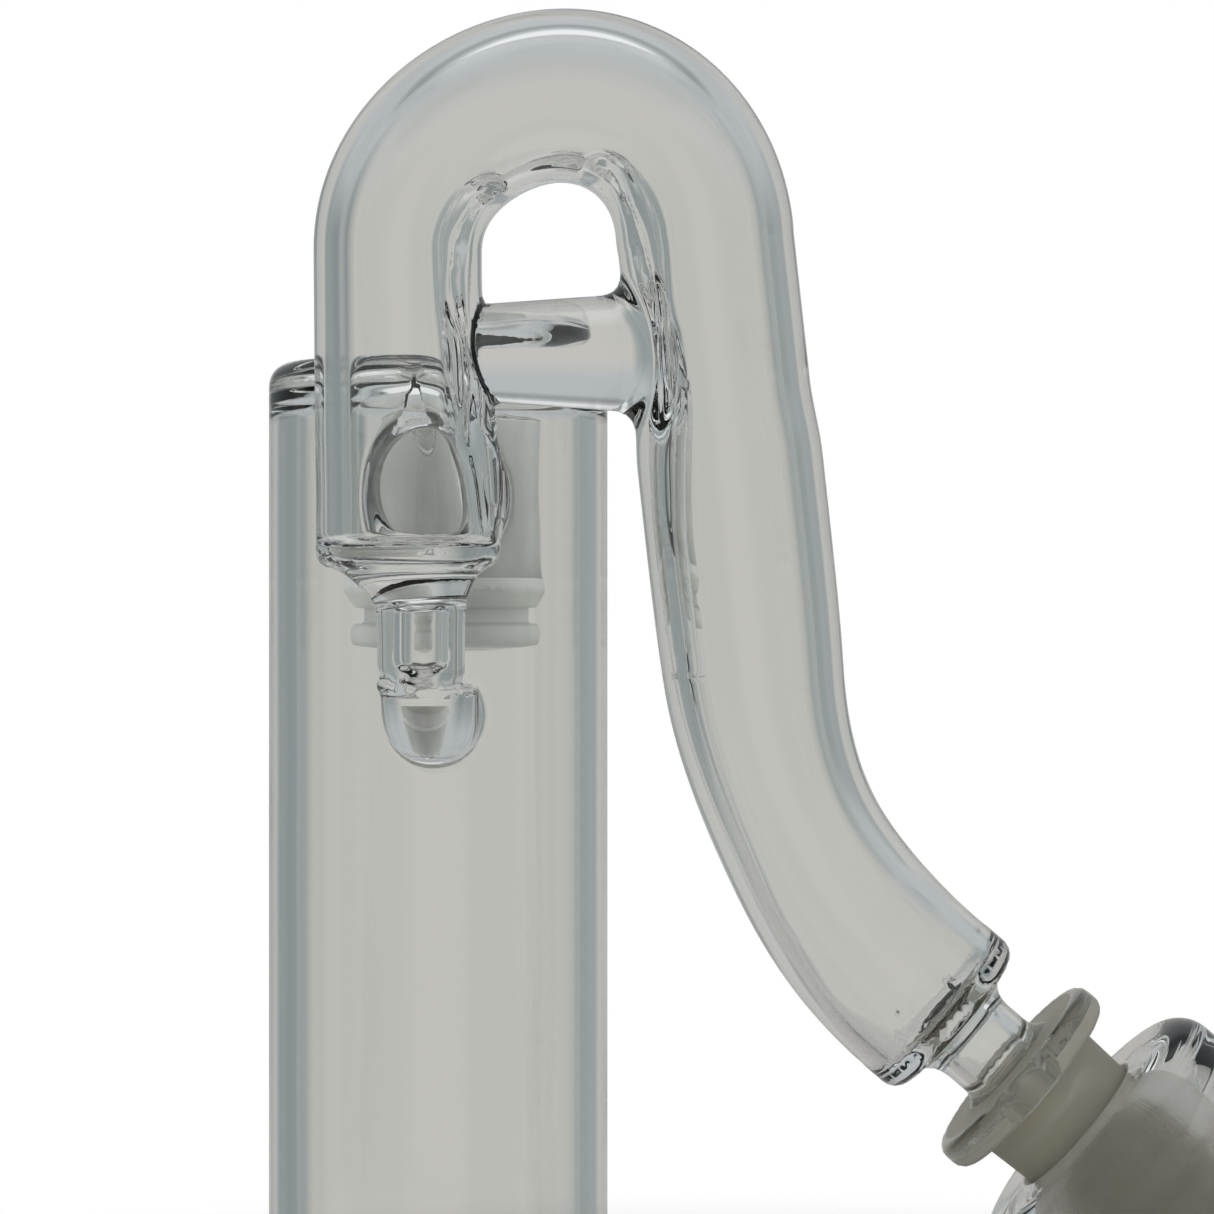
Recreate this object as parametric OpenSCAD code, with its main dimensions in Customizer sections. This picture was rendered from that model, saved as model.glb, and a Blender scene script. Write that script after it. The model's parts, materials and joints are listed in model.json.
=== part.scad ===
// Blown glass S-bend airlock with a ground cone, its vessel socket and a rear catch cup.
// Millimetres, +Z up. The origin is the centre of the free end of the vessel socket's stem.
// The bent tube lies in the plane Y = 0, and the chamber stands behind it, at positive Y.

/* [Chamber] */
// Outer diameter of the chamber tube
chamber_od = 34.3; // [32:0.1:38]
// Wall of the chamber tube
chamber_wall = 2.7; // [2:0.1:3.5]
// Height from the open foot to the flat closed top
chamber_h = 110; // [100:1:130]
// Thickness of the closed top
top_t = 2.5; // [2:0.1:3.5]
// Radius of the fire-polished edge of the foot
foot_round = 0.8; // [0.4:0.1:1]

/* [Bent tube] */
// Outer diameter of the bent tube
tube_od = 17.4; // [16:0.1:18]
// Wall of the bent tube
tube_wall = 2.4; // [1.8:0.1:2.8]
// Sideways offset of the inlet leg from the chamber's axis
leg_x = -2.3; // [-3:0.1:0]
// Centreline radius of the U bend
bend_r = 14.4; // [14:0.1:17]
// Height of the U bend's centre above the chamber's top
bend_rise = 9.3; // [6:0.1:14]
// Outward lean of the outlet leg from vertical, in degrees
lean = 6.3; // [2:0.1:10]
// Straight length of the outlet leg
outlet_leg_len = 42; // [34:0.5:48]
// Centreline radius of the outlet bend
outlet_bend_r = 47.2; // [44:0.1:60]
// Angle of the cone's axis from vertical, in degrees
outlet_angle = 49.5; // [44:0.5:52]
// Depth of the closed end of the inlet leg below the chamber's top
leg_drop = 21; // [20:0.1:24]

/* [Port, sump and brace] */
// Radius of the port between the inlet leg and the chamber
port_r = 5.8; // [4:0.1:6]
// Radius of the weld collar round the port
collar_r = 7.6; // [7:0.1:8]
// Depth of the port's centre below the chamber's top
port_drop = 13; // [13:0.1:15]
// Outer diameter of the sump tube under the inlet leg
sump_od = 8.4; // [7:0.1:9]
// Bore of the sump tube
sump_bore = 3.8; // [3:0.1:5]
// Bore of the passage from the inlet leg down to the sump
drip_bore = 1.6; // [1.2:0.1:2.4]
// Sideways offset of the sump tube from the chamber's axis
sump_x = -0.6; // [-1.5:0.1:0]
// Outer diameter of the solid bulb that closes the sump
bulb_od = 9.4; // [9:0.1:10]
// Sideways offset of the bulb from the chamber's axis
bulb_x = 0.2; // [-0.4:0.1:0.4]
// Centreline radius of the bulb's turn towards the chamber
bulb_bend_r = 5; // [5:0.1:6]
// Diameter of the solid brace rod
brace_d = 10.5; // [8:0.1:12]

/* [Ground joints] */
// Diameter of the large end of the ground cones
joint_d = 14.5; // [14:0.1:15]
// Length of the outlet cone
cone_len = 24.5; // [22:0.5:26]
// Outer diameter of the flange above the outlet cone
flange_od = 20.7; // [18:0.1:22]
// Bore through the cone's neck
neck_bore = 5.8; // [5:0.1:7]
// Radial running gap between a cone and its socket
ground_gap = 0.05; // [0.02:0.01:0.08]

/* [Vessel socket] */
// Outer diameter of the socket's lip
lip_od = 30.1; // [28:0.1:32]
// Outer diameter of the socket's body
socket_od = 24.8; // [22:0.1:26]
// Outer diameter of the socket's stem
stem_od = 9.5; // [8.5:0.1:11]
// Bore of the socket's stem
stem_bore = 5.5; // [4.5:0.1:6.5]
// Length of the socket's stem
stem_len = 25; // [20:0.5:30]

/* [Rear joint] */
// Diameter of the large end of the rear ground joint
rear_joint_d = 24; // [23:0.1:24.5]
// Outer diameter of the rear socket
rear_od = 28.4; // [28:0.1:30]
// Outer diameter of the lip at the rear socket's mouth
rear_lip_od = 30.6; // [30:0.1:32]
// Outer diameter of the catch cup's flange
cup_flange_od = 28; // [26:0.1:29]
// Depth of the rear socket's mouth below the chamber's top
rear_drop = 24.8; // [24:0.1:26]

/* [Hidden] */
$fn = 96;

clear_glass = "lightsteelblue";
ground_glass = "gray";
eps = 0.02;
arc_steps = 8;

chamber_r = chamber_od / 2;
chamber_bore = chamber_r - chamber_wall;
tube_r = tube_od / 2;
tube_bore = tube_r - tube_wall;
weld_gap = 0.3;
tube_y = -(chamber_r + tube_r + weld_gap);
bend_z = chamber_h + bend_rise;
leg_end_z = chamber_h - leg_drop;
leg_floor = 2;
port_z = chamber_h - port_drop;
brace_z = chamber_h - 0.7;

bend_x = leg_x + bend_r;
leg_top = [bend_x + bend_r * cos(lean), bend_z + bend_r * sin(lean)];
leg_low = leg_top + outlet_leg_len * [sin(lean), -cos(lean)];
turn_centre = leg_low + outlet_bend_r * [cos(lean), sin(lean)];
outlet = turn_centre - outlet_bend_r * [cos(outlet_angle), sin(outlet_angle)];

// Stations along the cone's axis, measured from the end of the outlet bend
end_s = 3.2;
neck_s = 5.2;
flange_s = 9.3;
rim_s = 10.8;
cone_s = 13.6;
socket_s = 19.1;
socket_end_s = 40;
stem_s = 43;
neck_r = 4.8;
taper = 0.05;
cone_tip_r = joint_d / 2 - taper * cone_len;

sump_r = sump_od / 2;
sump_top_z = leg_end_z - 3;
bulb_r = bulb_od / 2;
bulb_top_z = chamber_h - 30.2;

arm_z = chamber_h - 5.4;
arm_r = 2.6;
arm_bore = 1.5;
arm_len = 2;
rear_y = chamber_r + arm_len + rear_od / 2;
rear_mouth_z = chamber_h - rear_drop;
rear_mouth_r = rear_joint_d / 2 + ground_gap;
lip_h = 3.9;
rear_wall_h = rear_drop - lip_h;
cup_neck_h = 1.7;
cup_rim_h = 2.3;
cup_bore = 9.5;

// The free end of the stem, which is the origin of the part's frame
tip = outlet + (stem_s + stem_len) * [sin(outlet_angle), -cos(outlet_angle)];

// Moves children from the chamber's own frame, with its origin at the foot, to the part's frame
module placed() {
    translate([-tip[0], -tube_y, -tip[1]]) children();
}

// Points of a quarter turn of radius r about [x, z], from angle a to angle b
function arc(x, z, r, a, b) =
    [for (i = [0:arc_steps]) let (t = a + (b - a) * i / arc_steps) [x + r * cos(t), z + r * sin(t)]];

// A solid turned about Z from the outline in points
module turned(points) {
    rotate_extrude() polygon(points);
}

// A straight tube along Z
module tube(r, bore, h) {
    difference() {
        cylinder(r = r, h = h);
        translate([0, 0, -1]) cylinder(r = bore, h = h + 2);
    }
}

// A tube bent in the XZ plane, from angle a over the angle sweep
module bent_tube(bend, r, bore, a, sweep) {
    rotate([90, 0, 0]) rotate([0, 0, a]) rotate_extrude(angle = sweep) translate([bend, 0]) difference() {
        circle(r = r);
        circle(r = bore);
    }
}

// The frame of the outlet: Z runs down the cone's axis from the end of the outlet bend
module at_outlet(s = 0) {
    translate([outlet[0], tube_y, outlet[1]]) rotate([0, 180 - outlet_angle, 0])
        translate([0, 0, s]) children();
}

// The frame of the outlet leg: Z runs down the leg from the U bend
module at_outlet_leg() {
    translate([leg_top[0], tube_y, leg_top[1]]) rotate([0, 180 - lean, 0]) children();
}

// A round cutter along Y through the wall at height z
module bore_y(x, z, r, y0, y1) {
    translate([x, y0, z]) rotate([-90, 0, 0]) cylinder(r = r, h = y1 - y0);
}

module chamber_tube() {
    wall_h = chamber_h - top_t;
    color(clear_glass) placed() difference() {
        turned(concat(
            [[chamber_bore, wall_h]],
            arc(chamber_bore + foot_round, foot_round, foot_round, 180, 270),
            arc(chamber_r - foot_round, foot_round, foot_round, 270, 360),
            [[chamber_r, wall_h]]
        ));
        bore_y(0, port_z, port_r, -chamber_od, 0);
        bore_y(0, arm_z, arm_bore, 0, chamber_od);
    }
}

module chamber_top() {
    round_r = top_t - 0.1;
    color(clear_glass) placed() translate([0, 0, chamber_h - top_t]) turned(concat(
        [[0, 0], [chamber_r, 0]],
        arc(chamber_r - round_r, top_t - round_r, round_r, 0, 90),
        [[0, top_t]]
    ));
}

module port_collar() {
    color(clear_glass) placed() difference() {
        bore_y(0, port_z, collar_r, tube_y + 2, -10);
        bore_y(0, port_z, port_r, tube_y, 0);
        cylinder(r = chamber_r + eps, h = chamber_h);
        translate([leg_x, tube_y, 0]) cylinder(r = tube_r + eps, h = chamber_h);
    }
}

module inlet_leg() {
    low = leg_end_z + leg_floor;
    color(clear_glass) placed() difference() {
        translate([leg_x, tube_y, low]) tube(tube_r, tube_bore, bend_z - low);
        bore_y(0, port_z, port_r, tube_y, 0);
    }
}

module leg_end() {
    round_r = 1.9;
    boss_r = 6.9;
    color(clear_glass) placed() difference() {
        union() {
            translate([leg_x, tube_y, leg_end_z]) turned(concat(
                [[0, 0]],
                arc(tube_r - round_r, round_r, round_r, 270, 360),
                [[tube_r, leg_floor], [0, leg_floor]]
            ));
            translate([sump_x, tube_y, sump_top_z])
                cylinder(r1 = sump_r, r2 = boss_r, h = leg_end_z - sump_top_z + eps);
        }
        translate([sump_x, tube_y, 0]) cylinder(r = drip_bore / 2, h = chamber_h);
    }
}

module u_bend() {
    color(clear_glass) placed() translate([bend_x, tube_y, bend_z])
        bent_tube(bend_r, tube_r, tube_bore, lean, 180 - lean);
}

module outlet_leg() {
    color(clear_glass) placed() at_outlet_leg() tube(tube_r, tube_bore, outlet_leg_len);
}

module outlet_bend() {
    color(clear_glass) placed() translate([turn_centre[0], tube_y, turn_centre[1]])
        bent_tube(outlet_bend_r, tube_r, tube_bore, 180 + lean, outlet_angle - lean);
}

module outlet_shoulder() {
    round_r = 2.4;
    color(clear_glass) placed() at_outlet() turned(concat(
        [[neck_bore / 2, neck_s], [neck_bore / 2, end_s - 1], [tube_bore, 0], [tube_r, 0]],
        arc(tube_r - round_r, end_s - round_r, round_r, 0, 90),
        [[neck_r + 0.8, end_s + 0.6], [neck_r, neck_s]]
    ));
}

module brace_rod() {
    color(clear_glass) placed() difference() {
        translate([leg_x, tube_y, brace_z]) rotate([0, 90, 0]) cylinder(r = brace_d / 2, h = 2 * bend_r);
        translate([leg_x, tube_y, 0]) cylinder(r = tube_r + eps, h = bend_z);
        at_outlet_leg() cylinder(r = tube_r + eps, h = outlet_leg_len);
    }
}

module sump_tube() {
    color(clear_glass) placed() translate([sump_x, tube_y, bulb_top_z])
        tube(sump_r, sump_bore / 2, sump_top_z - bulb_top_z);
}

module sump_bulb() {
    color(clear_glass) placed() translate([bulb_x, tube_y + bulb_bend_r, bulb_top_z])
        rotate([90, 0, 90]) rotate([0, 0, 180]) rotate_extrude(angle = 90)
            translate([bulb_bend_r, 0]) circle(r = bulb_r);
}

module sump_stub() {
    color(clear_glass) placed() difference() {
        bore_y(bulb_x, bulb_top_z - bulb_bend_r, bulb_r, tube_y + bulb_bend_r, 0);
        cylinder(r = chamber_r + eps, h = chamber_h);
    }
}

module cone_neck() {
    color(clear_glass) placed() at_outlet(neck_s) tube(neck_r, neck_bore / 2, flange_s - neck_s);
}

module cone_flange() {
    edge = 0.8;
    rim_r = flange_od / 2;
    color(clear_glass) placed() at_outlet() turned(concat(
        [[neck_bore / 2, cone_s], [neck_bore / 2, flange_s], [neck_r, flange_s], [rim_r - 1.2, rim_s - 0.5]],
        arc(rim_r - edge, rim_s, edge, 270, 360),
        arc(rim_r - edge, cone_s - edge, edge, 0, 90)
    ));
}

module ground_cone() {
    bore = 4.2;
    color(ground_glass) placed() at_outlet(cone_s) difference() {
        cylinder(r1 = joint_d / 2, r2 = cone_tip_r, h = cone_len);
        translate([0, 0, 2]) cylinder(r = bore, h = cone_len);
        translate([0, 0, -1]) cylinder(r = neck_bore / 2, h = 4);
    }
}

module vessel_socket() {
    round_r = 3.4;
    hollow_r = 4;
    lip_s = socket_s + 3.2;
    body_s = socket_s + 9;
    body_r = socket_od / 2;
    mouth_r = joint_d / 2 - taper * (socket_s - cone_s) + ground_gap;
    low_r = mouth_r - taper * (socket_end_s - socket_s);
    color(ground_glass) placed() at_outlet() turned(concat(
        [[low_r, socket_end_s], [mouth_r, socket_s], [mouth_r + 0.8, socket_s - 0.2]],
        arc(lip_od / 2 - round_r, lip_s, round_r, 260, 405),
        arc(body_r + hollow_r, body_s, hollow_r, 225, 180),
        [[body_r, socket_end_s]]
    ));
}

module socket_shoulder() {
    round_r = 2.9;
    body_r = socket_od / 2;
    color(clear_glass) placed() at_outlet() turned(concat(
        [[stem_bore / 2, stem_s], [stem_bore / 2, socket_end_s], [body_r, socket_end_s]],
        arc(body_r - round_r, stem_s - round_r, round_r, 0, 90)
    ));
}

module socket_stem() {
    color(clear_glass) placed() at_outlet(stem_s) tube(stem_od / 2, stem_bore / 2, stem_len);
}

module rear_arm() {
    color(clear_glass) placed() difference() {
        bore_y(0, arm_z, arm_r, 0, rear_y);
        bore_y(0, arm_z, arm_bore, -1, rear_y + 1);
        cylinder(r = chamber_r + eps, h = chamber_h);
        translate([0, rear_y, 0]) cylinder(r = rear_od / 2 + eps, h = chamber_h);
    }
}

module rear_socket() {
    round_r = 3;
    cap_t = 2.4;
    color(ground_glass) placed() difference() {
        translate([0, rear_y, rear_mouth_z + lip_h]) turned(concat(
            [[rear_mouth_r - taper * lip_h, 0], [rear_od / 2, 0]],
            arc(rear_od / 2 - round_r, rear_wall_h - round_r, round_r, 0, 90),
            [[0, rear_wall_h], [0, rear_wall_h - cap_t],
             [rear_mouth_r - taper * (rear_drop - cap_t), rear_wall_h - cap_t]]
        ));
        bore_y(0, arm_z, arm_bore, 0, rear_y);
    }
}

module rear_lip() {
    edge = 0.7;
    widest_z = 1.9;
    color(ground_glass) placed() translate([0, rear_y, rear_mouth_z]) turned(concat(
        [[rear_mouth_r - taper * lip_h, lip_h], [rear_mouth_r, 0], [rear_mouth_r + 0.6, 0]],
        arc(rear_lip_od / 2 - edge, widest_z, edge, 300, 390),
        [[rear_od / 2 + 0.3, lip_h - 0.8], [rear_od / 2, lip_h]]
    ));
}

module cup_cone() {
    rise = 16;
    cone_r = rear_joint_d / 2;
    color(ground_glass) placed() translate([0, rear_y, rear_mouth_z - cup_neck_h]) difference() {
        union() {
            cylinder(r = cone_r - 0.3, h = cup_neck_h);
            translate([0, 0, cup_neck_h]) cylinder(r1 = cone_r, r2 = cone_r - taper * rise, h = rise);
        }
        translate([0, 0, -1]) cylinder(r = cup_bore, h = cup_neck_h + rise + 2);
    }
}

module cup_flange() {
    half = cup_rim_h / 2;
    color(ground_glass) placed() translate([0, rear_y, rear_mouth_z - cup_neck_h - cup_rim_h]) turned(concat(
        [[cup_bore, cup_rim_h], [cup_bore, 0]],
        arc(cup_flange_od / 2 - half, half, half, 270, 450)
    ));
}

module cup_bottom() {
    dome = 0.8;
    cup_r = (cup_flange_od - cup_rim_h) / 2;
    color(clear_glass) placed() translate([0, rear_y, rear_mouth_z - cup_neck_h - cup_rim_h]) turned(
        [[0, 0], [0, -dome], [0.5 * cup_r, -0.8 * dome], [0.8 * cup_r, -0.4 * dome], [cup_r, 0]]
    );
}

chamber_tube();
chamber_top();
port_collar();
inlet_leg();
leg_end();
u_bend();
outlet_leg();
outlet_bend();
outlet_shoulder();
brace_rod();
sump_tube();
sump_bulb();
sump_stub();
cone_neck();
cone_flange();
ground_cone();
rear_arm();
rear_socket();
rear_lip();
cup_cone();
cup_flange();
cup_bottom();
vessel_socket();
socket_shoulder();
socket_stem();
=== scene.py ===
# A blown glass S-bend airlock: its glass, light, floor and camera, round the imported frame.
import json
import math

import bpy
import numpy as np
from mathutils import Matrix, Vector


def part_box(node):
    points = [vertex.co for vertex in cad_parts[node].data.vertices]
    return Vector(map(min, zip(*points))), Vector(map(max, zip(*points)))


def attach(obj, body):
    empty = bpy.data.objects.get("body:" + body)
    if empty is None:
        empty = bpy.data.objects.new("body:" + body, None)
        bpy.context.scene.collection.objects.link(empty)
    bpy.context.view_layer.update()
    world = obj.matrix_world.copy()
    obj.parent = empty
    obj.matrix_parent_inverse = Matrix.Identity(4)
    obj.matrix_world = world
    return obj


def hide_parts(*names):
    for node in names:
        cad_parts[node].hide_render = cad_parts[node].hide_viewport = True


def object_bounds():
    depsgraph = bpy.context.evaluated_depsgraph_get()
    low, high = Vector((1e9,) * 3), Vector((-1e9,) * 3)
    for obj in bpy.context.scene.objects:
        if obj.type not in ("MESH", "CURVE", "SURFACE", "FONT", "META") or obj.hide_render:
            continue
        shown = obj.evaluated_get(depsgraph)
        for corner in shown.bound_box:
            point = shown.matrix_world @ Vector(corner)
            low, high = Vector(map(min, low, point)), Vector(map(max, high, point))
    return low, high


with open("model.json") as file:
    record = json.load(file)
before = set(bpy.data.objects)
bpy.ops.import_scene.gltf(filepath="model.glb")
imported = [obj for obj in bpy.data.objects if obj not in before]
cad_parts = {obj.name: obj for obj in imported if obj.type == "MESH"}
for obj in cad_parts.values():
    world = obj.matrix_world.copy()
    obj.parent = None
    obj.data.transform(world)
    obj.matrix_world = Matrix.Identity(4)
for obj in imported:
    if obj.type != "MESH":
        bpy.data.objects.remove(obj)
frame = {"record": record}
cad_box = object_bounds()
scene = bpy.context.scene

# ---------------------------------------------------------------- sizes, in millimetres
# Lengths are in the chamber's own frame: its foot is z = 0 and its axis is x = y = 0.
FOOT = np.array([sum(v) / 2 for v in zip(*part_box("chamber_tube"))]) * 1000
FOOT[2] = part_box("chamber_tube")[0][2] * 1000
UP = (0, 0, 1)

# chamber, and the port through its collar to the inlet leg
CHAMBER_R = 17.15
CHAMBER_BORE = 14.45
CHAMBER_H = 110.0
CEILING_Z = 107.4
COLLAR_R = 7.6
PORT_R = 5.7
PORT_Z = 97.0

# bent tube: inlet leg, arch, outlet leg, outlet bend; its centre line lies in the plane y = TUBE_Y
TUBE_Y = -FOOT[1]
WALL = 2.4
LEG_X = -2.3
LEG_FOOT = 89.0
LEG_FLOOR = 90.9
BEND_R = 14.4
BEND_Z = 119.3
LEG_LEN = 42.0
TURN_R = 47.2
LEAN = math.radians(6.3)
OUTLET = math.radians(49.5)

# brace rod
BRACE_Z = 109.5
BRACE_R = 4.7

# sump: a tube with a well in it, and a solid bulb that turns in to the chamber
SUMP_X = -0.6
SUMP_R = 4.15
SUMP_TOP = 89.5
WELL_R = 1.9
WELL_TOP = 85.8
WELL_FLOOR = 80.4
SEAM_Z = 77.6
BULB_X = 0.2
BULB_Z = 79.8
BULB_R = 4.7
BULB_TURN = 5.0

# tube's end, neck, flange and ground cone, with how far each starts and ends beyond the outlet bend
TUBE_END_R = 8.85
TUBE_END_BORE = 7.0
TUBE_TO = 4.0
TUBE_BORE_TO = 2.0
NECK_R = 4.4
NECK_BORE = 2.9
NECK_TO = 12
FLANGE_R = 10.35
FLANGE_FROM = 10.5
FLANGE_TO = 13.7
CONE_R = 7.25
CONE_FROM = 13.6
CONE_TO = 38.1
CONE_BORE = 4.2
CONE_BORE_FROM = 16.5
TAPER = 0.05

# rear joint: a closed socket that opens downwards, on an arm
REAR_Y = 33.35
REAR_Z = 85.2
REAR_R = 14.2
REAR_ROOF = 2.4
REAR_LIP_R = 15.35
REAR_LIP_H = 5
REAR_LIP_WIDEST = 1.9
REAR_BORE = 12.05
ARM_Z = 104.6
ARM_R = 2.6
ARM_BORE = 1.5

# in the bent tube's plane: the centres of its bends, the ends of its stretches and the cone's axis
ARCH = np.array([LEG_X + BEND_R, BEND_Z])
LEG_TOP = ARCH + BEND_R * np.array([math.cos(LEAN), math.sin(LEAN)])
LEG_LOW = LEG_TOP + LEG_LEN * np.array([math.sin(LEAN), -math.cos(LEAN)])
TURN = LEG_LOW + TURN_R * np.array([math.cos(LEAN), math.sin(LEAN)])
END = TURN - TURN_R * np.array([math.cos(OUTLET), math.sin(OUTLET)])
AXIS = np.array([math.sin(OUTLET), -math.cos(OUTLET)])

END3 = (END[0], TUBE_Y, END[1])
AXIS3 = (AXIS[0], 0.0, AXIS[1])
REAR3 = (0, REAR_Y, REAR_Z)

# outlines of the turned pieces: radius, distance along the axis, and how much that corner is rounded
SOCKET_OUTLINE = [
    (7.03, 19.2, 0.2),
    (7.8, 18.95, 0.3),
    (15.03, 19.05, 3.4),
    (15.03, 24.4, 1.6),
    (12.4, 27.7, 3.5),
    (12.4, 43, 2.9),
    (4.75, 43, 1.8),
    (4.75, 68, 0.9),
    (2.75, 68, 0.7),
    (2.75, 40.5, 0.8),
    (5.98, 40.3, 0.6),
]
CUP_OUTLINE = [
    (0, -4.8, 0),
    (7.0, -4.6, 8.0),
    (14.0, -4.0, 0.9),
    (14.0, -1.7, 1.0),
    (11.7, -1.7, 0.5),
    (11.75, -0.1, 0.1),
    (12.0, 0.1, 0.1),
    (11.2, 16, 0.5),
    (9.5, 16, 0.5),
    (9.5, -2.6, 1.5),
    (0, -2.6, 0),
]

# the blown body's mesh: the box that it is sought in, and the side of a cell
BLOWN_LOW = np.array([-18.2, -36.0, -1.0])
BLOWN_HIGH = np.array([81.0, 49.0, 143.6])
BLOWN_STEP = 0.75


# ---------------------------------------------------------------- signed distances
def smin(a, b, k):
    """The lesser of a and b, blended where they are within k of each other."""
    h = np.clip(0.5 + 0.5 * (b - a) / k, 0, 1)
    return b + (a - b) * h - k * h * (1 - h)


def smax(a, b, k):
    """The greater of a and b, blended in the same way."""
    return -smin(-a, -b, k)


def cut(a, b, e):
    """The overlap of a and b, with its edge rounded to radius e."""
    inside = np.minimum(np.maximum(a, b) + e, 0)
    return inside + np.hypot(np.maximum(a + e, 0), np.maximum(b + e, 0)) - e


def to_arc(u, v, c, r, a0, a1):
    """Distance in a plane to the arc of radius r about c from angle a0 to a1."""
    mid, half = (a0 + a1) / 2, (a1 - a0) / 2
    x, y = u - c[0], v - c[1]
    ang = np.arctan2(y, x) - mid
    ang = np.abs((ang + np.pi) % (2 * np.pi) - np.pi)
    e0 = np.hypot(x - r * math.cos(a0), y - r * math.sin(a0))
    e1 = np.hypot(x - r * math.cos(a1), y - r * math.sin(a1))
    return np.where(ang <= half, np.abs(np.hypot(x, y) - r), np.minimum(e0, e1))


def slab(t, lo, hi):
    """Distance along one axis to the stretch from lo to hi."""
    return np.abs(t - (lo + hi) / 2) - (hi - lo) / 2


def ease(t, lo, hi):
    """0 at lo, 1 at hi and smooth between; lo may be the greater."""
    t = np.clip((t - lo) / (hi - lo), 0, 1)
    return t * t * (3 - 2 * t)


def bell(t, mid, wide):
    """1 at mid, and near 0 beyond about twice wide from it."""
    return np.exp(-(((t - mid) / wide) ** 2))


def leg_skin(z):
    """The outlet leg's radius where its centre is at height z: full, with a waist in the lower bend."""
    return 8.42 + 0.43 * ease(z, 106, 99) - 0.92 * bell(z, 65, np.where(z > 65, 12, 9.5))


def gather(side, ty, z, full, folded):
    """How much thicker the bent tube's wall is on its inner side, where side points.

    full is the share of the even swelling, and folded the share of the folds that stand on it.
    """
    turn = np.arctan2(ty, side)
    swelling = 0.62 * np.clip(np.cos(turn), 0, 1) ** 3
    front = 0.55 * bell(turn, -0.3 + 0.14 * np.sin(0.42 * z), 0.2 + 0.04 * np.sin(0.9 * z))
    back = 0.35 * bell(turn, 0.3 + 0.12 * np.sin(0.37 * z + 1), 0.22)
    return full * swelling + folded * (front + back)


def bent_tube(x, y, z):
    """Distances to the skin and to the bore of the bent tube, in four stretches that follow each other."""
    ty = y - TUBE_Y
    out = []

    # inlet leg
    mid = -1.85 - 0.98 * ease(z, 96, 118)
    d = np.sqrt((x - mid) ** 2 + ty**2 + np.maximum(z - BEND_Z, 0) ** 2)
    skin = 8.76 - 0.76 * ease(z, 98, 117)
    full = ease(z, 91, 102)
    fold = gather(x - mid, ty, z, full, full * ease(z, 96, 106))
    out.append((cut(d - skin, LEG_FOOT - z, 1.6), cut(d - skin + WALL + fold, LEG_FLOOR - z, 1.3)))

    # arch: drawn by hand, so its radius wanders a little
    u, v = x - ARCH[0], z - ARCH[1]
    a = np.arctan2(v, u)
    a = np.clip(np.where(a < -math.pi / 2, math.pi, a), LEAN, math.pi)
    r = 14.65 + 0.28 * np.cos(3 * (a - math.radians(60)))
    d = np.sqrt((u - r * np.cos(a)) ** 2 + (v - r * np.sin(a)) ** 2 + ty**2)
    skin = 8.5 - 0.16 * a
    deg = np.degrees(a)
    full = ease(deg, 124, 152) + ease(deg, 74, 48)
    folded = ease(deg, 127, 147) + ease(deg, 72, 54)
    fold = gather(r - np.hypot(u, v), ty, z, full, folded)
    out.append((d - skin, d - skin + WALL + fold))

    # outlet leg
    u, v = x - LEG_TOP[0], z - LEG_TOP[1]
    t = np.clip(u * math.sin(LEAN) - v * math.cos(LEAN), 0, LEG_LEN)
    u, v = u - t * math.sin(LEAN), v + t * math.cos(LEAN)
    d = np.sqrt(u**2 + v**2 + ty**2)
    zc = LEG_TOP[1] - t * math.cos(LEAN)
    fold = gather(-u, ty, zc, 0.2 + 0.8 * ease(zc, 92, 106), ease(zc, 101, 108))
    out.append((d - leg_skin(zc), d - leg_skin(zc) + WALL + fold))

    # outlet bend, with a thinner wall at its end
    u, v = TURN[0] - x, TURN[1] - z
    a = np.clip(np.arctan2(v, u), LEAN, OUTLET)
    d = np.sqrt((u - TURN_R * np.cos(a)) ** 2 + (v - TURN_R * np.sin(a)) ** 2 + ty**2)
    zc = TURN[1] - TURN_R * np.sin(a)
    full = 0.2 * ease(zc, 54, 66) * (zc < LEG_LOW[1])
    wall = WALL - 0.6 * ease(zc, 57, 50)
    fold = gather(np.hypot(u, v) - TURN_R, ty, zc, full, 0)
    out.append((d - leg_skin(zc), d - leg_skin(zc) + wall + fold))
    return out


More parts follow.
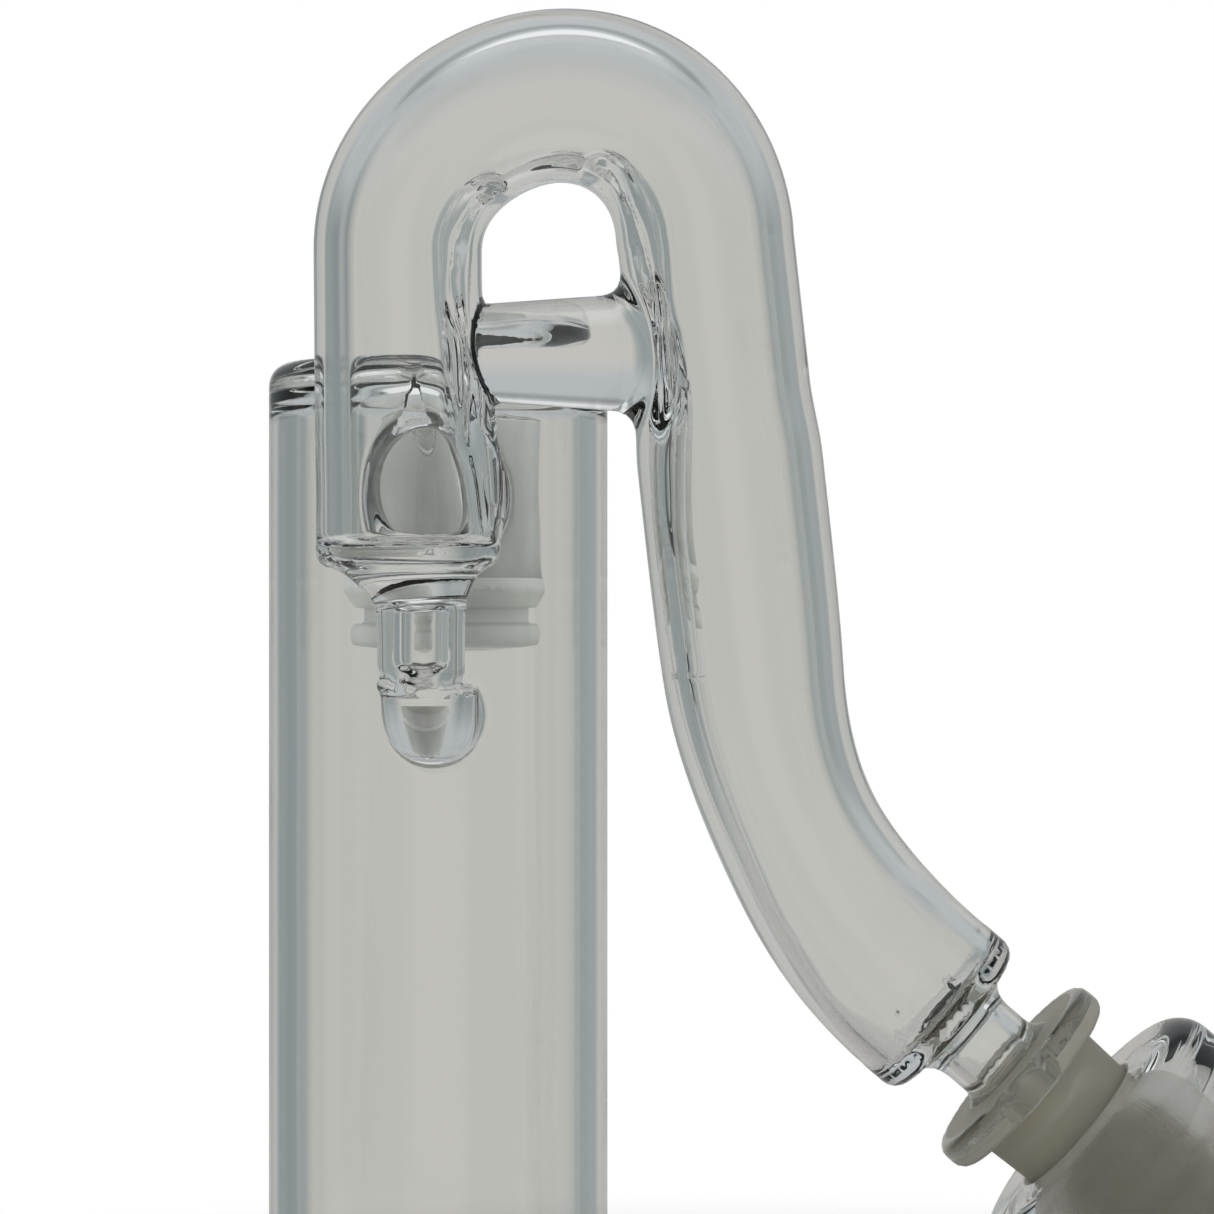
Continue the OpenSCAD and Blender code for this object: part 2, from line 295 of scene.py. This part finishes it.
def airlock(x, y, z):
    """The fused body of glass: everything but the vessel socket and the catch cup."""
    # from the chamber's axis, the bent tube's plane and the rear joint's axis; along and from the cone's axis
    rc = np.hypot(x, y)
    ty = y - TUBE_Y
    rr = np.hypot(x, y - REAR_Y)
    s = (x - END[0]) * AXIS[0] + (z - END[1]) * AXIS[1]
    rs = np.hypot((x - END[0]) * AXIS[1] - (z - END[1]) * AXIS[0], ty)
    (leg, leg_gas), (arch, arch_gas), (fall, fall_gas), (bend, bend_gas) = bent_tube(x, y, z)

    # outer skin: chamber, bent tube, cone
    chamber = cut(rc - CHAMBER_R, z - CHAMBER_H, 2.4)
    end = np.maximum(rs - TUBE_END_R, slab(s, 0, NECK_TO))
    low = cut(np.minimum(bend, end), s - TUBE_TO, 1.6)
    neck = cut(rs - NECK_R, slab(s, 0, NECK_TO), 0.2)
    low = smin(low, neck, 3.0)
    flange = cut(rs - FLANGE_R, slab(s, FLANGE_FROM, FLANGE_TO), 1.1)
    low = smin(low, flange, 1.8)
    cone = cut(rs - (CONE_R - TAPER * (s - CONE_FROM)), slab(s, NECK_TO, CONE_TO), 0.45)
    low = smin(low, cone, 0.5)
    tube = np.minimum(np.minimum(leg, arch), np.minimum(fall, low))

    # brace rod, wider at the outlet leg
    rod = 0.99 * (np.hypot(ty, z - BRACE_Z) - (BRACE_R + 0.07 * (x - 6)))
    rod = np.maximum(rod, slab(x, LEG_X, LEG_X + 2 * BEND_R))
    tube = smin(tube, rod, 0.5 + 1.8 * ease(x, 8, 16))
    collar = np.maximum(np.hypot(x, z - PORT_Z + 1) - COLLAR_R, slab(y, TUBE_Y, 0))
    skin = smin(smin(chamber, collar, 0.6), tube, 1.2)

    # sump: its tube widens up to the leg, and a seam runs round it where the bulb is joined on
    up = np.minimum(0.5 * (z - WELL_TOP + np.hypot(z - WELL_TOP, 0.8)), 4)
    sump = 0.77 * (np.hypot(x - SUMP_X + 0.35 * up, ty) - SUMP_R - 0.8 * up)
    sump = np.maximum(sump, slab(z, BULB_Z - 2.4, SUMP_TOP))
    turn = to_arc(ty, z, (BULB_TURN, BULB_Z), BULB_TURN, math.pi, 1.5 * math.pi)
    bulb = np.hypot(x - BULB_X, turn) - BULB_R
    stub = np.hypot(x - BULB_X, z - BULB_Z + BULB_TURN) - BULB_R
    stub = np.maximum(stub, slab(y, TUBE_Y + BULB_TURN, 0))
    bulb = np.maximum(np.minimum(bulb, stub), z - BULB_Z + 2.2)
    seam = 0.35 * bell(z, SEAM_Z + 0.05 * (x - BULB_X) ** 2, 0.4)
    skin = smin(skin, smin(sump, bulb, 0.7) + seam, 1.2)

    # rear joint: its wall waves a little, and its lip flares
    socket = cut(rr - REAR_R, slab(z, REAR_Z + 1, CHAMBER_H), 3.0)
    widest = REAR_Z + REAR_LIP_WIDEST
    flare = np.where(z > widest, 0.55 * (z - widest), 1.1 * (widest - z))
    lip = cut(0.8 * (rr - REAR_LIP_R + flare), slab(z, REAR_Z, REAR_Z + REAR_LIP_H), 0.3)
    socket = smin(socket + 0.2 - 0.2 * np.sin(0.42 * z + 0.9), lip, 0.9)
    arm = np.maximum(np.hypot(x, z - ARM_Z) - ARM_R, slab(y, 0, REAR_Y))
    skin = smin(skin, smin(socket, arm, 1.2), 1.2)

    # hollows
    room = cut(rc - CHAMBER_BORE, z - CEILING_Z, 3.2)
    end = np.maximum(rs - TUBE_END_BORE, slab(s, -1, NECK_TO))
    low = cut(np.minimum(bend_gas, end), s - TUBE_BORE_TO, 0.8)
    gas = np.minimum(np.minimum(leg_gas, arch_gas), np.minimum(fall_gas, low))
    gas = smin(gas, np.maximum(rs - NECK_BORE, slab(s, -2, 18)), 2.0)
    gas = smin(gas, np.maximum(rs - CONE_BORE, CONE_BORE_FROM - s), 1.6)
    port = np.maximum(np.hypot(x, z - PORT_Z) - PORT_R, slab(y, TUBE_Y, 0))
    hollow = smin(smin(room, port, 0.8), gas, 0.8)
    well = np.hypot(np.hypot(x - SUMP_X, ty), np.maximum(WELL_FLOOR - z, 0)) - WELL_R
    hollow = np.minimum(hollow, cut(well, z - WELL_TOP, 0.8))
    taper = cut(rr - (REAR_BORE - TAPER * (z - REAR_Z)), z - CHAMBER_H + REAR_ROOF, 1.5)
    vent = np.maximum(np.hypot(x, z - ARM_Z) - ARM_BORE, slab(y, 0, REAR_Y))
    hollow = smin(hollow, smin(taper, vent, 0.4), 0.4)
    return cut(smax(skin, -hollow, 0.4), -z, 1.2)


# ---------------------------------------------------------------- meshes
def slope(f, p, h):
    """The gradient of f at points p, over a reach of h each way."""
    g = np.empty_like(p)
    for i in range(3):
        e = np.zeros(3)
        e[i] = h
        g[:, i] = (f(*(p + e).T) - f(*(p - e).T)) / (2 * h)
    return g


def net(f, low, high, step):
    """A closed quad mesh near f = 0 by surface nets: a point in each cell that f = 0 passes through."""
    n = np.ceil((np.array(high) - low) / step).astype(int) + 1
    ax = [low[i] + step * np.arange(n[i]) for i in range(3)]
    val = np.empty(n, np.float32)
    layers = 24
    for k in range(0, n[2], layers):
        gx, gy, gz = np.meshgrid(ax[0], ax[1], ax[2][k : k + layers], indexing="ij")
        val[:, :, k : k + layers] = f(gx, gy, gz)
    total = np.zeros(n - 1, np.int8)
    point = np.zeros((*(n - 1), 3), np.float32)
    base = np.stack(np.meshgrid(*[np.arange(m - 1) for m in n], indexing="ij"), -1)
    corners = [(a, b, c) for a in (0, 1) for b in (0, 1) for c in (0, 1)]

    def at(o):
        return tuple(slice(o[i], o[i] + n[i] - 1) for i in range(3))

    # each cell's point is the mean of where f = 0 crosses its edges
    for axis in range(3):
        for o in corners:
            if o[axis]:
                continue
            q = tuple(o[i] + (i == axis) for i in range(3))
            a, b = val[at(o)], val[at(q)]
            cross = (a < 0) != (b < 0)
            t = np.where(cross, a / np.where(cross, a - b, 1), 0)
            add = np.array(o, np.float32) + np.eye(3, dtype=np.float32)[axis] * t[..., None]
            point += np.where(cross[..., None], add, 0)
            total += cross
    live = total > 0
    index = np.full(n - 1, -1, np.int64)
    index[live] = np.arange(live.sum())
    verts = np.array(low) + step * (base[live] + point[live] / total[live][:, None])

    # each crossed edge gives a quad between the four cells round it
    neg = val < 0
    faces = []
    for axis in range(3):
        u, v = (axis + 1) % 3, (axis + 2) % 3
        sl = [slice(1, m - 1) for m in n]
        sl[axis] = slice(0, n[axis] - 1)
        sh = list(sl)
        sh[axis] = slice(1, n[axis])
        a, b = neg[tuple(sl)], neg[tuple(sh)]
        where = np.argwhere(a != b)
        inside = a[tuple(where.T)]
        cell = where.copy()
        for i in (u, v):
            cell[:, i] += 1
        quad = []
        for du, dv in ((0, 0), (-1, 0), (-1, -1), (0, -1)):
            c = cell.copy()
            c[:, u] += du
            c[:, v] += dv
            quad.append(index[tuple(c.T)])
        quad = np.stack(quad, 1)
        quad[~inside] = quad[~inside][:, ::-1]
        faces.append(quad)
    return verts, np.concatenate(faces)


def surface(f, low, high, step):
    """A smooth quad mesh of f = 0, with its normals: a net pulled onto the surface and evened out."""
    verts, faces = net(f, low, high, step)
    pairs = np.concatenate([faces[:, [i, (i + 1) % 4]] for i in range(4)])
    near = np.concatenate([pairs, pairs[:, ::-1]])
    count = np.maximum(np.bincount(near[:, 0], minlength=len(verts)), 1)[:, None]
    pulls, evenings = 6, 4
    for turn in range(pulls):
        g = slope(f, verts, 0.02)
        g2 = np.maximum((g * g).sum(1, keepdims=True), 0.05)
        move = f(*verts.T)[:, None] * g / g2
        verts -= np.clip(move, -0.3 * step, 0.3 * step)
        if turn < evenings:
            sums = [np.bincount(near[:, 0], verts[near[:, 1], i], len(verts)) for i in range(3)]
            d = 0.5 * (np.stack(sums, 1) / count - verts)
            unit = g / np.sqrt(g2)
            verts += d - (d * unit).sum(1, keepdims=True) * unit
    g = slope(f, verts, 0.05)
    return verts, faces, g / np.maximum(np.linalg.norm(g, axis=1, keepdims=True), 1e-6)


def piece(name, verts, faces, body, stands_for, normals=None):
    """A smooth mesh from millimetres in the chamber's frame, riding on body in place of CAD nodes."""
    mesh = bpy.data.meshes.new(name)
    groups = [np.asarray(f) for f in faces if len(f)]
    sizes = np.concatenate([np.full(len(f), f.shape[1]) for f in groups])
    loops = np.concatenate([f.ravel() for f in groups])
    mesh.vertices.add(len(verts))
    mesh.vertices.foreach_set("co", ((np.asarray(verts) + FOOT) / 1000).astype(np.float32).ravel())
    mesh.loops.add(len(loops))
    mesh.loops.foreach_set("vertex_index", loops.astype(np.int32))
    mesh.polygons.add(len(sizes))
    mesh.polygons.foreach_set("loop_start", (np.cumsum(sizes) - sizes).astype(np.int32))
    mesh.polygons.foreach_set("use_smooth", np.ones(len(sizes), bool))
    mesh.update(calc_edges=True)
    mesh.validate()
    if normals is not None:
        mesh.normals_split_custom_set_from_vertices(normals.tolist())
    obj = bpy.data.objects.new(name, mesh)
    scene.collection.objects.link(obj)
    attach(obj, body)
    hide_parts(*stands_for)
    return obj


def spun(profile, centre, axis, turns):
    """Rings of points: each (radius, along) of the profile turned about an axis through centre."""
    a = np.array(axis, float)
    side = np.cross(a, (0, 1, 0) if abs(a[1]) < 0.9 else (1, 0, 0))
    side /= np.linalg.norm(side)
    up = np.cross(a, side)
    ang = np.arange(turns) * 2 * math.pi / turns
    ring = np.cos(ang)[:, None] * side + np.sin(ang)[:, None] * up
    return np.array(centre) + profile[:, 0, None, None] * ring + (profile[:, 1, None] * a)[:, None, :]


def outline(corners, step, ring):
    """A path through (x, y, rounding) corners, sampled about every step. ring closes it."""
    c = np.array([v[:2] for v in corners], float)
    radii = [v[2] for v in corners]
    n = len(c)
    pts = []
    for i in range(n):
        p, q, r = c[i - 1], c[i], c[(i + 1) % n]
        if not radii[i]:
            pts.append(q[None])
            continue
        u, v = (p - q) / np.linalg.norm(p - q), (r - q) / np.linalg.norm(r - q)
        half = math.acos(np.clip(u @ v, -1, 1)) / 2
        m = q + (u + v) / np.linalg.norm(u + v) * radii[i] / math.sin(half)
        a, b = q + u * radii[i] / math.tan(half) - m, q + v * radii[i] / math.tan(half) - m
        total = math.atan2(a[0] * b[1] - a[1] * b[0], a @ b)
        t = np.linspace(0, total, max(4, int(abs(total) * radii[i] / (step * 0.5)) + 1) + 1)
        turned = [a[0] * np.cos(t) - a[1] * np.sin(t), a[0] * np.sin(t) + a[1] * np.cos(t)]
        pts.append(m + np.stack(turned, 1))
    pts = np.concatenate(pts)
    out = []
    ends = list(zip(pts, np.roll(pts, -1, 0)))
    for p, q in ends if ring else ends[:-1]:
        k = max(1, int(round(np.linalg.norm(q - p) / step)))
        out.append(p + (q - p) * np.arange(k)[:, None] / k)
    return np.concatenate(out if ring else out + [pts[-1:]])


def lathe(name, corners, centre, axis, body, stands_for, ring=True, turns=128, step=0.7):
    """Turns an outline about an axis. An open outline, without ring, starts and ends on the axis."""
    prof = outline(corners, step, ring)
    grid = spun(prof if ring else prof[1:-1], centre, axis, turns)
    n = len(grid)
    i, j = np.meshgrid(np.arange(n if ring else n - 1), np.arange(turns), indexing="ij")
    k, m = (i + 1) % n, (j + 1) % turns
    quads = np.stack([i * turns + j, i * turns + m, k * turns + m, k * turns + j], -1).reshape(-1, 4)
    verts = grid.reshape(-1, 3)
    tris = []
    if not ring:
        j = np.arange(turns)
        ends = np.array(centre) + prof[[0, -1], 1][:, None] * np.array(axis)
        first, last = len(verts), len(verts) + 1
        tris = np.concatenate([
            np.stack([np.full(turns, first), (j + 1) % turns, j], 1),
            np.stack([np.full(turns, last), (n - 1) * turns + j, (n - 1) * turns + (j + 1) % turns], 1)])
        verts = np.concatenate([verts, ends])
    return piece(name, verts, [quads, tris], body, stands_for)


# ---------------------------------------------------------------- the pieces
nodes_of = frame["record"]["behaviour"]["bodies"]
verts, faces, normals = surface(airlock, BLOWN_LOW, BLOWN_HIGH, BLOWN_STEP)
blown = piece("blown_airlock", verts, [faces], "airlock", nodes_of["airlock"], normals)
socket = lathe("vessel_socket_glass", SOCKET_OUTLINE, END3, AXIS3, "socket", nodes_of["socket"])
cup = lathe("catch_cup_glass", CUP_OUTLINE, REAR3, UP, "cup", nodes_of["cup"], ring=False)

# ---------------------------------------------------------------- colours
CLEAR = (0.985, 0.99, 0.985)
# painted shade, in part: the ground cone's frost is its own, but its dark grey stands in for the dim
# surroundings that frosted glass shows
CONE_FROST_AND_SHADE = (0.40, 0.38, 0.30)
FLANGE_GREY = (0.47, 0.46, 0.39)
# painted shade, in part: the socket's ground bore is frosted, and its dark grey stands in for the little
# light that gets in to it
SOCKET_FROST_AND_SHADE = (0.33, 0.31, 0.25)
# painted shade: the socket's frosted bore is darker still for its first 2 mm in from the mouth, to take out
# the light that falls in there
MOUTH_FROST_AND_PAINTED_SHADE = (0.23, 0.215, 0.17)
REAR_GREY = (0.72, 0.73, 0.695)
# painted shade: a dark, half-matt ring round the port's collar, standing in for the dark rim that the glass
# shows there
COLLAR_RING_PAINTED_SHADE = (0.16, 0.17, 0.155)
WHITE = (1, 1, 1)

ROOM_PANEL = (0.54, 0.53, 0.505)
ROOM_DIM_LEFT = (0.25, 0.285, 0.292)
ROOM_DIM_RIGHT = (0.30, 0.335, 0.335)
ROOM_HIGH = (0.46, 0.485, 0.50)
ROOM_LOW = (0.63, 0.63, 0.605)
ROOM_FLANK = (0.13, 0.13, 0.115)
ROOM_RING = (0.30, 0.32, 0.325)
ROOM_TOP = (0.86, 0.88, 0.89)

FLOOR_DARK = (0.93, 0.93, 0.93)
FLOOR_LIGHT = (0.97, 0.97, 0.97)
FLOOR_IN_GLASS = (0.5, 0.49, 0.47)


# ---------------------------------------------------------------- materials
class Tree:
    """Short hand for building a node tree. A socket that is given is linked, and a value is set."""

    def __init__(self, tree):
        self.nodes, self.links = tree.nodes, tree.links
        self.nodes.clear()

    def new(self, kind, inputs=(), **props):
        n = self.nodes.new(kind)
        for k, v in props.items():
            setattr(n, k, v)
        for k, v in dict(inputs).items():
            s = n.inputs[k]
            if isinstance(v, bpy.types.NodeSocket):
                self.links.new(v, s)
            else:
                s.default_value = v
        return n

    def math(self, op, a, b=0.0):
        return self.new("ShaderNodeMath", {0: a, 1: b}, operation=op).outputs[0]

    def vec(self, op, a, b=(0, 0, 0)):
        n = self.new("ShaderNodeVectorMath", {0: a, 1: b}, operation=op)
        return n.outputs["Value" if op in ("DOT_PRODUCT", "LENGTH") else "Vector"]

    def ramp(self, x, lo, hi, a=0.0, b=1.0):
        n = self.new("ShaderNodeMapRange", {0: x, 1: lo, 2: hi, 3: a, 4: b}, interpolation_type="SMOOTHSTEP")
        return n.outputs[0]

    def mix(self, f, a, b):
        """From colour a to colour b by f. A colour is a socket or red, green and blue."""
        a, b = ((*v, 1) if isinstance(v, tuple) else v for v in (a, b))
        return self.new("ShaderNodeMix", {0: f, 6: a, 7: b}, data_type="RGBA").outputs[2]

    def noise(self, p, scale, detail):
        return self.new("ShaderNodeTexNoise", {"Vector": p, "Scale": scale, "Detail": detail}).outputs[0]


def glass(name, grounds):
    """Clear blown glass that is ground matt in places.

    Each of grounds is (centre, axis, r0, r1, s0, s1, colour, matte): from r0 to r1 millimetres off the axis
    and from s0 to s1 along it from centre. matte is the share of the light that doesn't go through.
    """
    mat = bpy.data.materials.new(name)
    mat.use_nodes = True
    t = Tree(mat.node_tree)
    p = t.new("ShaderNodeTexCoord").outputs["Object"]
    cloud = t.noise(p, 160.0, 4.0)
    edge = 0.00012
    mask, chalk, colour = 0.0, 0.0, CLEAR
    for centre, axis, r0, r1, s0, s1, shade, matte in grounds:
        d = t.vec("SUBTRACT", p, tuple((np.array(centre) + FOOT) / 1000))
        s = t.vec("DOT_PRODUCT", d, axis)
        r = t.vec("LENGTH", t.vec("CROSS_PRODUCT", d, axis))
        m = 1.0
        for x, lo, hi in ((s, s0, s1), (r, r0, r1)):
            m = t.math("MULTIPLY", m, t.ramp(x, lo / 1000 - edge, lo / 1000 + edge))
            m = t.math("MULTIPLY", m, t.ramp(x, hi / 1000 - edge, hi / 1000 + edge, 1.0, 0.0))
        mask = t.math("MAXIMUM", mask, m)
        chalk = t.math("MAXIMUM", chalk, t.math("MULTIPLY", m, matte))
        light = tuple(1.1 * v for v in shade)
        # each ground zone's colour; those of the cone, socket, mouth and collar ring are darkened as painted
        # shade
        colour = t.mix(m, colour, t.mix(t.ramp(cloud, 0.3, 0.7), shade, light))
    grain = t.noise(p, 2600.0, 3.0)
    swell = t.noise(p, 45.0, 1.0)
    frost = t.math("MULTIPLY", mask, t.ramp(cloud, 0.3, 0.7, 0.40, 0.52))
    rough = t.math("ADD", frost, t.ramp(cloud, 0.62, 0.75, 0.0, 0.03))
    bump = t.new("ShaderNodeBump", {"Height": swell, "Strength": 0.12, "Distance": 0.0006})
    grit = t.math("MULTIPLY", grain, mask)
    bump = t.new("ShaderNodeBump", {
        "Height": grit, "Strength": 0.35, "Distance": 0.0001, "Normal": bump.outputs[0]})
    b = t.new("ShaderNodeBsdfPrincipled", {
        "Base Color": colour, "Roughness": rough, "IOR": 1.47, "Normal": bump.outputs[0],
        "Transmission Weight": t.math("SUBTRACT", 1.0, chalk)})
    t.new("ShaderNodeOutputMaterial", {0: b.outputs[0]})
    return mat


blown.data.materials.append(glass("blown_glass", [
    # ground cone: frosted, with a dark grey that is partly painted shade
    (END3, AXIS3, 5.4, 7.7, 13.3, 38.0, CONE_FROST_AND_SHADE, 0.5),
    (END3, AXIS3, 5.4, 9.0, 10.0, 13.9, FLANGE_GREY, 0.5),
    (END3, AXIS3, 8.5, 10.8, 12.1, 13.9, FLANGE_GREY, 0.5),
    (REAR3, UP, 10.6, 12.5, -0.2, 21.9, REAR_GREY, 0.9),
    (REAR3, UP, 12.4, 15.6, -0.2, 3.2, REAR_GREY, 0.75),
    # painted shade: a dark ring round the port's collar
    ((0, 0, PORT_Z - 1), (0, -1, 0), 7.0, 8.3, 16.0, 18.6, COLLAR_RING_PAINTED_SHADE, 0.5)]))
socket.data.materials.append(glass("socket_glass", [
    # socket's ground bore: frosted, with a dark grey that is partly painted shade
    (END3, AXIS3, 5.0, 7.4, 21.2, 40.0, SOCKET_FROST_AND_SHADE, 0.5),
    # painted shade: the frosted zone at the mouth, darkened against the light that falls in through it
    (END3, AXIS3, 5.0, 7.6, 19.0, 21.3, MOUTH_FROST_AND_PAINTED_SHADE, 0.5)]))
cup.data.materials.append(glass("cup_glass", [
    (REAR3, UP, 10.8, 14.5, -4.4, 15.7, REAR_GREY, 0.75)]))

# ---------------------------------------------------------------- light
# The glass sees a grey room with pale upright panels, dark flanks, and a dim ring round a bright top.
# The camera sees white instead, and so does light that a matt surface has scattered.
world = bpy.data.worlds.new("studio")
scene.world = world
world.use_nodes = True
t = Tree(world.node_tree)
sep = t.new("ShaderNodeSeparateXYZ", {0: t.new("ShaderNodeTexCoord").outputs["Generated"]})
east, north, height = sep.outputs
phi = t.math("ARCTAN2", east, north)
panel = t.ramp(t.math("COSINE", t.math("MULTIPLY", phi, 4.0)), -0.35, 0.45)
dim = t.mix(t.ramp(east, -0.3, 0.3), ROOM_DIM_LEFT, ROOM_DIM_RIGHT)
room = t.mix(panel, dim, ROOM_PANEL)
room = t.mix(t.ramp(height, 0.12, 0.4), room, ROOM_HIGH)
room = t.mix(t.ramp(height, -0.2, -0.5), room, ROOM_LOW)
flank = t.ramp(t.math("ABSOLUTE", t.math("SINE", phi)), 0.975, 0.995)
room = t.mix(flank, room, ROOM_FLANK)
ring = t.math("MULTIPLY", t.ramp(height, 0.62, 0.72), t.ramp(height, 0.75, 0.82, 1.0, 0.0))
room = t.mix(ring, room, ROOM_RING)
room = t.mix(t.ramp(height, 0.81, 0.88), room, ROOM_TOP)
path = t.new("ShaderNodeLightPath").outputs
scattered = t.math("GREATER_THAN", path["Diffuse Depth"], 0.5)
sky = t.mix(t.math("MAXIMUM", path["Is Camera Ray"], scattered), room, WHITE)
t.new("ShaderNodeOutputWorld", {0: t.new("ShaderNodeBackground", {0: sky, 1: 1.0}).outputs[0]})

# ---------------------------------------------------------------- floor
# A pale disc just under the lowest glass, which fades out before its rim. The glass sees it darker.
FLOOR_R = 0.25
FLOOR_FADE = (0.1, 0.2)
FLOOR_DROP = 0.0002
floor_mesh = bpy.data.meshes.new("floor")
ang = np.arange(96) * 2 * math.pi / 96
rim = np.stack([FLOOR_R * np.cos(ang), FLOOR_R * np.sin(ang), 0 * ang], 1)
floor_mesh.from_pydata(rim.tolist(), [], [list(range(96))])
floor = bpy.data.objects.new("floor", floor_mesh)
floor.location = (FOOT[0] / 1000 + 0.03, FOOT[1] / 1000 - 0.01, cad_box[0][2] - FLOOR_DROP)
scene.collection.objects.link(floor)
mat = bpy.data.materials.new("pale_floor")
mat.use_nodes = True
t = Tree(mat.node_tree)
p = t.new("ShaderNodeTexCoord").outputs["Object"]
tone = t.mix(t.noise(p, 30.0, 5.0), FLOOR_DARK, FLOOR_LIGHT)
tone = t.mix(t.new("ShaderNodeLightPath").outputs["Is Camera Ray"], FLOOR_IN_GLASS, tone)
lit = t.new("ShaderNodeBsdfDiffuse", {0: tone}).outputs[0]
gone = t.new("ShaderNodeBsdfTransparent").outputs[0]
fade = t.ramp(t.vec("LENGTH", p), *FLOOR_FADE)
t.new("ShaderNodeOutputMaterial", {0: t.new("ShaderNodeMixShader", {0: fade, 1: lit, 2: gone}).outputs[0]})
floor_mesh.materials.append(mat)

# ---------------------------------------------------------------- camera
# It looks level along y, from in front of a point between the chamber and the outlet leg.
CAMERA_X = 17.1
CAMERA_Z = 85.3
CAMERA_Y = -0.4
LENS = 124.547
cam = bpy.data.cameras.new("camera")
cam.sensor_width = 36
cam.lens = LENS
cam.clip_start = 0.01
camera = bpy.data.objects.new("camera", cam)
camera.location = ((CAMERA_X + FOOT[0]) / 1000, CAMERA_Y, (CAMERA_Z + FOOT[2]) / 1000)
camera.rotation_euler = (math.pi / 2, 0, 0)
scene.collection.objects.link(camera)
scene.camera = camera
scene.view_settings.view_transform = "Standard"
scene.cycles.max_bounces = 24
scene.cycles.transmission_bounces = 24
scene.cycles.transparent_max_bounces = 16
